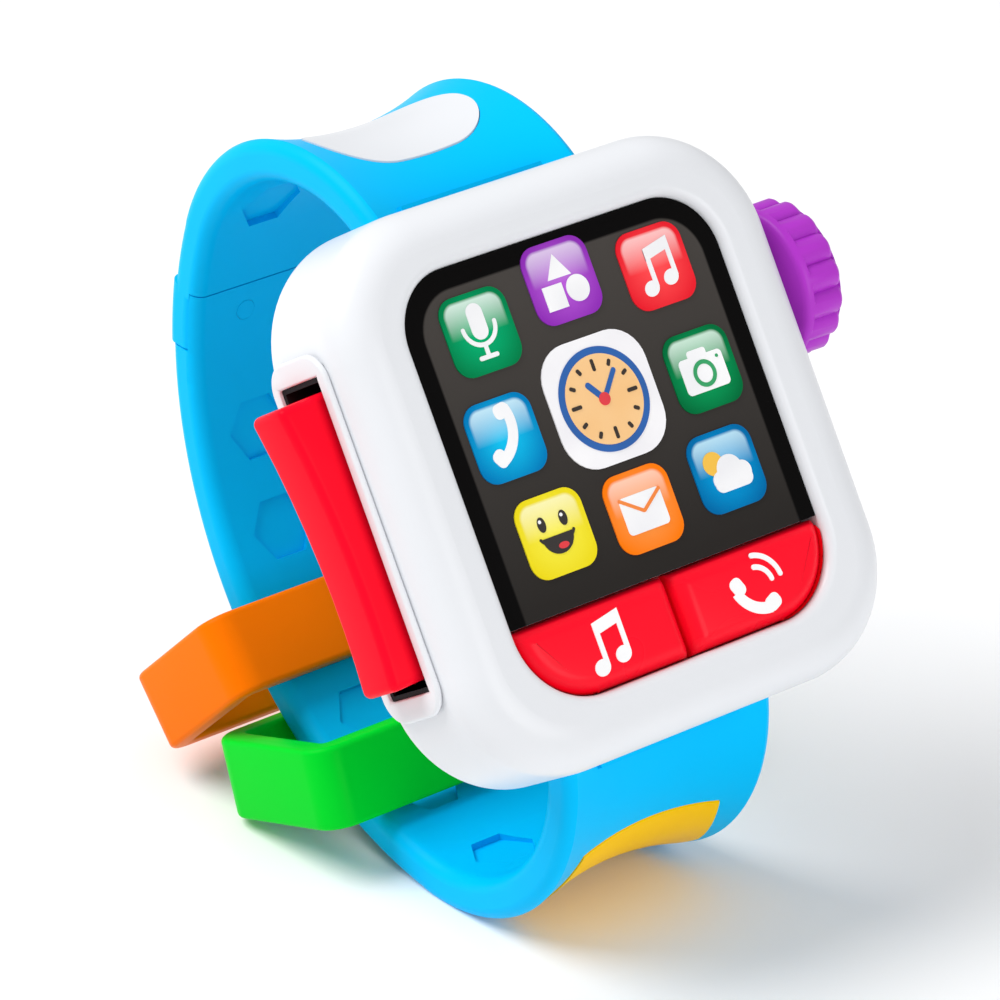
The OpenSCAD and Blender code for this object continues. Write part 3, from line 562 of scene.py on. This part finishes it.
class WATCH_OT_tiles(bpy.types.Operator):
    """Lay the eight picture tiles and the middle tile on the window"""

    bl_idname = "watch.tiles"
    bl_label = "Screen tiles"

    def execute(self, context):
        size = prints()
        window = frame["nodes"]["screen_window"]
        side, corner = size.tile / MM, size.tile_corner / MM
        for name, (x, y, rim, body, glow) in TILES.items():
            drawing = Drawing("tile_" + name)
            drawing.slab(0, 0, side, side, corner)
            middle = tuple(FACE @ Vector((x * MM, y * MM, 0)))
            finish = screen_print("gloss_print_" + name, linear(rim), linear(body), linear(glow), middle,
                                  side / 2, corner)
            drawing.lay(window, x, y, size.tile_rise, finish, "watch", "card_print")
        drawing = Drawing("tile_dial")
        drawing.slab(0, 0, size.dial_tile / MM, size.dial_tile / MM, size.dial_corner / MM)
        # Screen ink again: an even white ground for the dial.
        finish = ink("gloss_print_white", linear("#FBFAFB"), linear("#E9E7EC"))
        drawing.lay(window, *DIAL_AT, size.tile_rise, finish, "watch", "label_white")
        return {"FINISHED"}


def picture(name, tile, draw, material, rise=None):
    """Draws one ink of a picture on its tile."""
    drawing = Drawing(name)
    draw(drawing)
    x, y = TILES[tile][:2] if tile in TILES else DIAL_AT
    carrier = bpy.data.objects["tile_" + tile]
    return drawing.lay(carrier, x, y, rise or prints().ink_rise, material, "watch", "label_white")


# Pictures of the tiles, each in mm from the middle of its tile

def draw_voice(drawing):
    drawing.slab(0, 1.5, 2.6, 5.0, 1.28)
    drawing.arc(0, 0.9, 2.6, 0.62, 180, 180)
    drawing.slab(0, -2.5, 0.66, 1.9)
    drawing.slab(0, -3.4, 3.2, 0.62, 0.3)


def draw_shapes(drawing):
    drawing.spot(-0.2, 2.0, 4.6, 4.4, corners=3)
    drawing.slab(-1.9, -1.9, 3.3, 3.4)
    drawing.spot(2.05, -1.6, 3.7)


def draw_tune(drawing):
    drawing.spot(-1.85, -2.7, 2.5, 2.1, 20)
    drawing.spot(1.75, -2.0, 2.5, 2.1, 20)
    drawing.slab(-0.95, 0.0, 0.75, 5.4)
    drawing.slab(2.65, 0.7, 0.75, 5.4)
    drawing.slab(0.85, 1.9, 4.35, 1.7, skew=0.9)


def draw_call(drawing):
    drawing.arc(-3.6, 2.0, 5.2, 1.55, -64, 86, ends=False)
    drawing.slab(0.7, 3.6, 2.5, 2.1, 0.85, 8)
    drawing.slab(-1.75, -2.35, 2.5, 2.1, 0.85, -56)


def draw_photo_body(drawing):
    drawing.slab(0, -0.5, 7.4, 5.0, 0.7)
    drawing.slab(-0.3, 2.2, 3.2, 1.4, 0.45)


def draw_photo_lens(drawing):
    drawing.arc(0, -0.6, 1.6, 0.6, 0, 360, ends=False)
    drawing.spot(2.75, 1.15, 0.5)


def draw_smile_dark(drawing):
    drawing.spot(-1.75, 1.7, 1.3, 2.1)
    drawing.spot(1.85, 1.7, 1.3, 2.1)
    drawing.arc(0.1, -0.2, 1.3, 2.5, 180, 180, ends=False)
    drawing.arc(0.1, 1.6, 3.3, 0.4, 213, 114)


def draw_smile_tongue(drawing):
    drawing.spot(0.55, -1.75, 1.7, 0.9)


def draw_smile_glint(drawing):
    drawing.spot(-1.95, 2.15, 0.5)
    drawing.spot(1.65, 2.15, 0.5)


def draw_letter_sheet(drawing):
    drawing.slab(0, -0.3, 7.0, 5.2, 0.7)


def draw_letter_flap(drawing):
    drawing.slab(-1.7, 0.9, 4.4, 0.5, 0.24, -34)
    drawing.slab(1.7, 0.9, 4.4, 0.5, 0.24, 34)


def draw_sun(drawing):
    drawing.spot(-1.9, 1.3, 3.3)


def draw_cloud(drawing):
    drawing.slab(0.5, -1.7, 6.4, 2.4, 1.19)
    drawing.spot(0.4, -0.2, 4.3)
    drawing.spot(2.3, -0.9, 3.0)
    drawing.spot(-1.5, -1.2, 2.6)


class WATCH_OT_pictures(bpy.types.Operator):
    """Print the eight pictures on their tiles"""

    bl_idname = "watch.pictures"
    bl_label = "Tile pictures"

    def execute(self, context):
        # Screen inks: flat, opaque colours under a light gloss.
        white = ink("white_screen_ink", tuple(colours().ink), linear("#E6E6EA"))
        dark = ink("dark_screen_ink", linear("#2A2320"), linear("#1B1614"))
        red = ink("red_screen_ink", linear("#E9343C"), linear("#D62A33"))
        sun = ink("sun_screen_ink", linear("#F6C851"), linear("#F0B93A"))
        green = ink("green_screen_ink", linear("#2DA566"), linear("#229457"))
        orange = ink("orange_screen_ink", linear("#F58B3C"), linear("#EF7E2C"))
        second = prints().ink_rise * SECOND_TOP
        picture("picture_voice", "voice", draw_voice, white)
        picture("picture_shapes", "shapes", draw_shapes, white)
        picture("picture_tune", "tune", draw_tune, white)
        picture("picture_call", "call", draw_call, white)
        picture("picture_photo", "photo", draw_photo_body, white)
        picture("picture_photo_lens", "photo", draw_photo_lens, green, second)
        picture("picture_smile", "smile", draw_smile_dark, dark)
        picture("picture_smile_tongue", "smile", draw_smile_tongue, red, second)
        picture("picture_smile_glint", "smile", draw_smile_glint, white, second)
        picture("picture_letter", "letter", draw_letter_sheet, white)
        picture("picture_letter_flap", "letter", draw_letter_flap, orange, second)
        picture("picture_sun", "weather", draw_sun, sun)
        picture("picture_cloud", "weather", draw_cloud, white, second)
        return {"FINISHED"}


# Layers of the dial, each in mm from its middle

def draw_dial_rim(drawing):
    drawing.spot(0, 0, 14.4, corners=96)


def draw_dial_face(drawing):
    drawing.spot(0, 0, 12.4, corners=96)


def draw_dial_marks(drawing):
    for hour in range(12):
        angle = math.radians(90 - 30 * hour)
        tall = 1.7 if hour % 3 == 0 else 1.0
        reach = MARKS_REACH - tall / 2
        drawing.slab(reach * math.cos(angle), reach * math.sin(angle), 0.55, tall, 0.24, -30 * hour)


def draw_dial_hands(drawing):
    drawing.slab(-0.95, 1.2, 0.9, 3.8, 0.44, 38)
    drawing.slab(1.45, 1.65, 0.75, 5.0, 0.36, -41)


def draw_dial_hub(drawing):
    drawing.spot(0, 0, 1.8)


class WATCH_OT_dial(bpy.types.Operator):
    """Print a plain clock dial on the middle tile"""

    bl_idname = "watch.dial"
    bl_label = "Clock dial"

    def execute(self, context):
        # Screen inks again; each layer is printed over the last.
        blue = ink("blue_dial_ink", linear("#1B62B5"), linear("#155399"))
        peach = ink("peach_dial_ink", linear("#F9CF97"), linear("#F2BB78"))
        dark = ink("dark_dial_ink", linear("#33261F"), linear("#241A15"))
        red = ink("red_dial_ink", linear("#E93A45"), linear("#D62F3A"))
        # Each layer with the height of its top in ink thicknesses
        layers = (("dial_rim", draw_dial_rim, blue, 1), ("dial_face", draw_dial_face, peach, 1.5),
                  ("dial_marks", draw_dial_marks, dark, 2), ("dial_hands", draw_dial_hands, blue, 2.2),
                  ("dial_hub", draw_dial_hub, red, 2.8))
        for name, draw, finish, top in layers:
            picture(name, "dial", draw, finish, prints().ink_rise * top)
        return {"FINISHED"}


class WATCH_OT_buttons(bpy.types.Operator):
    """Round the push buttons, finish them in red and print their white signs"""

    bl_idname = "watch.buttons"
    bl_label = "Push buttons"

    def execute(self, context):
        # ABS, moulded in its own colour: a deep red that shines a little.
        red = moulded("red_gloss_abs", tuple(colours().red), roughness=0.28, shine=0.14)
        left = soften("left_button", "left_button", BUTTON_ROUND, red, shows=self.on_cap)
        right = soften("right_button", "right_button", BUTTON_ROUND, red, shows=self.on_cap)
        # Pad-printed ink: flat and opaque on the red.
        white = ink("white_pad_ink", tuple(colours().ink), linear("#F0F0F2"))
        rise = prints().sign_rise
        tune = Drawing("sign_tune")
        tune.spot(-1.95, -2.75, 2.6, 2.2, 20)
        tune.spot(1.9, -2.0, 2.6, 2.2, 20)
        tune.slab(-1.05, 0.2, 0.8, 5.9)
        tune.slab(2.8, 0.95, 0.8, 5.9)
        tune.slab(0.87, 2.35, 4.65, 1.75, skew=0.85)
        tune.lay(left, *TUNE_SIGN_AT, rise, white, "left_button", "label_white")
        call = Drawing("sign_call")
        call.arc(1.2, 1.6, 5.0, 1.6, 200, 70, ends=False)
        call.slab(-3.0, 0.6, 2.1, 2.6, 0.85, 24)
        call.slab(1.75, -2.9, 2.6, 2.1, 0.85, 24)
        call.arc(0.2, -0.2, 2.6, 0.75, 8, 74)
        call.arc(0.2, -0.2, 4.2, 0.75, 8, 74)
        call.lay(right, *CALL_SIGN_AT, rise, white, "right_button", "label_white")
        return {"FINISHED"}

    def on_cap(self, ends):
        """Tells an edge of the cap, because a rounded flange would meet the case."""
        return all((end - FACE_MID).dot(OUT) > 0 for end in ends)


class WATCH_OT_rocker(bpy.types.Operator):
    """Round the rocker and finish it in red, and paint its well black as shade"""

    bl_idname = "watch.rocker"
    bl_label = "Rocker"

    def execute(self, context):
        # ABS, moulded in its own colour: an even red with next to no shine on its long hollow.
        red = moulded("red_rocker_abs", tuple(colours().red), roughness=0.3)
        frame_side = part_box("rocker_frame")[0][0]
        soften("power_rocker", "rocker", ROCKER_ROUND, red, steps=6,
               shows=lambda ends: any(end.x < frame_side for end in ends))
        # ABS from a textured tool, dull; its black is painted shade, so that the gap reads as depth.
        wear(("switch_well",), moulded("painted_shade_well_abs", linear("#262628"), roughness=0.45))
        return {"FINISHED"}


# Crown: height and radius of each ring from its foot outwards in mm, and its ribs past the plain collar
CROWN_RINGS = ((0, 7.0), (0.2, 7.3), (1.0, 10.0), (1.2, 10.6), (1.5, 10.95), (1.9, 11.1), (2.5, 11.1),
               (2.7, 11.15), (7.1, 11.2), (7.5, 11.0), (7.9, 10.6), (8.2, 10.0), (8.5, 9.2), (8.6, 8.6),
               (8.3, 8.0), (8.1, 7.2))
CROWN_RIBS = 16
RIB_STEPS = 16
RIB_LOW, RIB_HIGH = 2.6, 8.0
# Depth of a valley as a share of the radius, a power below 1 that makes crests broad, and shading in degrees
RIB_DEPTH = 0.09
RIB_ROUND = 0.72
RIB_SMOOTH = 32


class WATCH_OT_crown(bpy.types.Operator):
    """Draw the ribbed crown and finish it in purple"""

    bl_idname = "watch.crown"
    bl_label = "Crown"

    def execute(self, context):
        # ABS, moulded in its own colour: satin, with a soft light on each rib.
        purple = moulded("purple_satin_abs", tuple(colours().purple), roughness=0.36, shine=0.2)
        knob = self.knob()
        knob.data.materials.append(purple)
        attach(knob, "crown")
        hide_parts("crown_knob")
        # Acetal, moulded: a plain waxy ivory.
        wear(("crown_ratchet",), moulded("ivory_acetal", linear("#E9E2CD"), roughness=0.4))
        return {"FINISHED"}

    def knob(self):
        """Draws the knob up from its foot, ring by ring, and then presses in the valleys between its ribs."""
        low, high = (Vector(corner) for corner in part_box("crown_knob"))
        middle = (low + high) / 2
        rest()
        height, radius = CROWN_RINGS[0]
        bpy.ops.mesh.primitive_circle_add(vertices=CROWN_RIBS * RIB_STEPS, radius=radius * MM,
                                          fill_type="NGON", location=(0, 0, 0))
        piece = bpy.context.object
        piece.name = piece.data.name = "crown_ribbed"
        bpy.ops.object.mode_set(mode="EDIT")
        bpy.ops.mesh.select_all(action="SELECT")
        for next_height, next_radius in CROWN_RINGS[1:]:
            lift = (next_height - height) * MM
            bpy.ops.mesh.extrude_region_move(TRANSFORM_OT_translate={"value": (0, 0, lift)})
            share = next_radius / radius
            bpy.ops.transform.resize(value=(share, share, 1), center_override=(0, 0, 0))
            height, radius = next_height, next_radius
        pitch = 2 * math.pi / (CROWN_RIBS * RIB_STEPS)
        for step in range(1, RIB_STEPS):
            share = 1 - RIB_DEPTH * (1 - abs(math.cos(math.pi * step / RIB_STEPS)) ** RIB_ROUND)
            pick(piece, lambda vertex: RIB_LOW * MM < vertex.co.z < RIB_HIGH * MM
                 and round(math.atan2(vertex.co.y, vertex.co.x) / pitch) % RIB_STEPS == step)
            bpy.ops.transform.resize(value=(share, share, 1), center_override=(0, 0, 0))
        bpy.ops.mesh.select_all(action="SELECT")
        bpy.ops.mesh.normals_make_consistent(inside=False)
        bpy.ops.object.mode_set(mode="OBJECT")
        foot = Matrix.Translation((low.x, middle.y, middle.z))
        piece.matrix_world = foot @ Matrix.Rotation(math.pi / 2, 4, "Y")
        bpy.ops.object.transform_apply(location=True, rotation=True, scale=True)
        bpy.ops.object.shade_smooth_by_angle(angle=math.radians(RIB_SMOOTH))
        return piece


class WATCH_OT_strap(bpy.types.Operator):
    """Finish the strap halves, the label and the patch"""

    bl_idname = "watch.strap"
    bl_label = "Strap"

    def execute(self, context):
        # Soft polypropylene, moulded: a satin skin, so that the blue stays even.
        wear(("strap_upper", "strap_lower", "strap_studs"),
             moulded("blue_satin_polypropylene", tuple(colours().strap), roughness=0.36, ior=1.49))
        # ABS, moulded: the label an even white, the patch an even warm yellow.
        wear(("strap_label",), moulded("white_label_abs", linear("#DFE1E5"), roughness=0.32))
        wear(("strap_patch",), moulded("yellow_patch_abs", tuple(colours().patch), roughness=0.34))
        return {"FINISHED"}


class WATCH_OT_tags(bpy.types.Operator):
    """Round the two ring tags and finish them in green and orange"""

    bl_idname = "watch.tags"
    bl_label = "Ring tags"

    def execute(self, context):
        # Polypropylene, moulded: strong even colours with a satin skin.
        green = moulded("green_satin_polypropylene", tuple(colours().green), roughness=0.33, ior=1.49)
        orange = moulded("orange_satin_polypropylene", tuple(colours().orange), roughness=0.33, ior=1.49)
        soften("green_tag", "green_tag", TAG_ROUND, green)
        soften("orange_tag", "orange_tag", TAG_ROUND, orange)
        return {"FINISHED"}


class WATCH_OT_inside(bpy.types.Operator):
    """Finish the pieces inside the case"""

    bl_idname = "watch.inside"
    bl_label = "Inside pieces"

    def execute(self, context):
        # Steel, zinc plated: a bright cool grey.
        steel = turned_metal("zinc_plated_steel", linear("#B9BBC0"), 0.32, 0.25)
        wear(("battery_contacts", "door_screw", "case_screws", "rocker_pin", "crown_shaft", "click_leaf",
              "strap_screws"), steel)
        # Brass jacket, drawn: warm and half bright.
        wear(("battery_cells",), turned_metal("brass_cell_jacket", linear("#B98A2E"), 0.35, 0.4))
        # Solder mask over glass fibre: a deep green. Epoxy, dropped on: a smooth black.
        wear(("circuit_board",), moulded("green_solder_mask", linear("#156B35"), roughness=0.4))
        wear(("sound_chip",), moulded("black_epoxy_drop", linear("#141414"), roughness=0.35))
        # Nylon, moulded: a dull grey. Silicone, moulded: pale and matt.
        wear(("speaker", "power_switch"), moulded("grey_nylon", linear("#3E4044"), roughness=0.5))
        wear(("button_domes",), moulded("grey_silicone", linear("#C9CBCC"), roughness=0.6, ior=1.41))
        # Epoxy, cast: a milky cream.
        wear(("screen_lamp",), moulded("milky_lamp_epoxy", linear("#F4EFD9"), roughness=0.2))
        return {"FINISHED"}


class WATCH_OT_stage(bpy.types.Operator):
    """Set the floor, the soft lights and the camera"""

    bl_idname = "watch.stage"
    bl_label = "Studio"

    def execute(self, context):
        scene = context.scene
        studio = scene.watch_studio
        scene.view_settings.view_transform = "Standard"
        self.floor()
        # View of the middle of the case front, with the camera's right and upright square to it.
        turn = FACE.to_3x3()
        ahead = (turn @ VIEW_AHEAD).normalized()
        across = turn @ VIEW_ACROSS
        upward = turn @ Vector((0, 1, 0))
        right = ROLL_ACROSS * across + ROLL_UP * upward
        right = (right - right.dot(ahead) * ahead).normalized()
        above = right.cross(ahead).normalized()
        centre = FACE @ Vector((0, -WINDOW_UP * MM, RIM_OUT * MM))
        # The middle of the case front sits right of and above the picture's middle.
        look = (ahead - AIM_RIGHT / FOCAL * right - AIM_UP / FOCAL * above).normalized()
        side = (right - right.dot(look) * look).normalized()
        crest = side.cross(look)
        stand = centre - studio.distance * ahead
        rest()
        bpy.ops.object.camera_add(location=stand)
        camera = context.object
        camera.name = "photo_camera"
        camera.matrix_world = Matrix.Translation(stand) @ Matrix((side, crest, -look)).transposed().to_4x4()
        camera.data.lens = studio.lens
        camera.data.sensor_width = SENSOR
        camera.data.clip_start = CLIP_START
        scene.camera = camera
        lights = (("key_softbox", KEY_AT, KEY_WIDE, studio.key),
                  ("side_softbox", SIDE_AT, SIDE_WIDE, studio.fill))
        for name, (rightward, upright, forward), wide, power in lights:
            self.lamp(name, LIT_POINT + rightward * side + upright * crest + forward * look, wide, power)
        world = bpy.data.worlds.new("white_surround")
        scene.world = world
        world.use_nodes = True
        back = world.node_tree.nodes["Background"]
        back.inputs["Color"].default_value = (1, 1, 1, 1)
        back.inputs["Strength"].default_value = studio.room
        return {"FINISHED"}

    def floor(self):
        """Lays a wide sheet of paper on the ground."""
        rest()
        bpy.ops.mesh.primitive_plane_add(size=FLOOR_WIDE, location=(0, 0, 0))
        sheet = bpy.context.object
        sheet.name = "pale_floor"
        # Paper, calendered: a dull near-white with a faint cloud.
        material, tree, shader, place = blank("pale_paper", linear("#FAFAFA"), 0.9, 1.4)
        fibre = put(tree, "ShaderNodeTexNoise", {"Vector": place, "Scale": per_mm(60), "Detail": 2.0})
        tone = put(tree, "ShaderNodeMix", {
            "Factor": fibre.outputs["Fac"], "A": (*linear("#FBFBFB"), 1), "B": (*linear("#F8F8F8"), 1)},
            data_type="RGBA")
        tree.links.new(tone.outputs["Result"], shader.inputs["Base Color"])
        sheet.data.materials.append(material)

    def lamp(self, name, place, wide, power):
        """Hangs a round soft light that faces the watch."""
        rest()
        bpy.ops.object.light_add(type="AREA", location=place)
        lamp = bpy.context.object
        lamp.name = name
        lamp.data.shape = "DISK"
        lamp.data.size = wide
        lamp.data.energy = power
        lamp.rotation_euler = (LIT_POINT - place).to_track_quat("-Z", "Y").to_euler()


class WATCH_PT_panel(bpy.types.Panel):
    """Lists the watch's pieces and their values"""

    bl_idname = "WATCH_PT_panel"
    bl_label = "Toy Watch"
    bl_space_type = "VIEW_3D"
    bl_region_type = "UI"
    bl_category = "Toy Watch"

    def draw(self, context):
        for step in STEPS:
            self.layout.operator(step.bl_idname)
        for group in ("watch_colours", "watch_print", "watch_studio"):
            box = self.layout.box()
            values = getattr(context.scene, group)
            for name in values.__annotations__:
                box.prop(values, name)


GROUPS = (WatchColours, WatchPrint, WatchStudio)
STEPS = (WATCH_OT_stage, WATCH_OT_case, WATCH_OT_window, WATCH_OT_tiles, WATCH_OT_pictures, WATCH_OT_dial,
         WATCH_OT_buttons, WATCH_OT_rocker, WATCH_OT_crown, WATCH_OT_strap, WATCH_OT_tags, WATCH_OT_inside)


def register():
    for item in (*GROUPS, *STEPS, WATCH_PT_panel):
        bpy.utils.register_class(item)
    bpy.types.Scene.watch_colours = bpy.props.PointerProperty(type=WatchColours)
    bpy.types.Scene.watch_print = bpy.props.PointerProperty(type=WatchPrint)
    bpy.types.Scene.watch_studio = bpy.props.PointerProperty(type=WatchStudio)


def unregister():
    del bpy.types.Scene.watch_studio
    del bpy.types.Scene.watch_print
    del bpy.types.Scene.watch_colours
    for item in reversed((*GROUPS, *STEPS, WATCH_PT_panel)):
        bpy.utils.unregister_class(item)


def main():
    register()
    bpy.ops.watch.stage()
    bpy.ops.watch.case()
    bpy.ops.watch.window()
    bpy.ops.watch.tiles()
    bpy.ops.watch.pictures()
    bpy.ops.watch.dial()
    bpy.ops.watch.buttons()
    bpy.ops.watch.rocker()
    bpy.ops.watch.crown()
    bpy.ops.watch.strap()
    bpy.ops.watch.tags()
    bpy.ops.watch.inside()


if __name__ == "__main__":
    main()
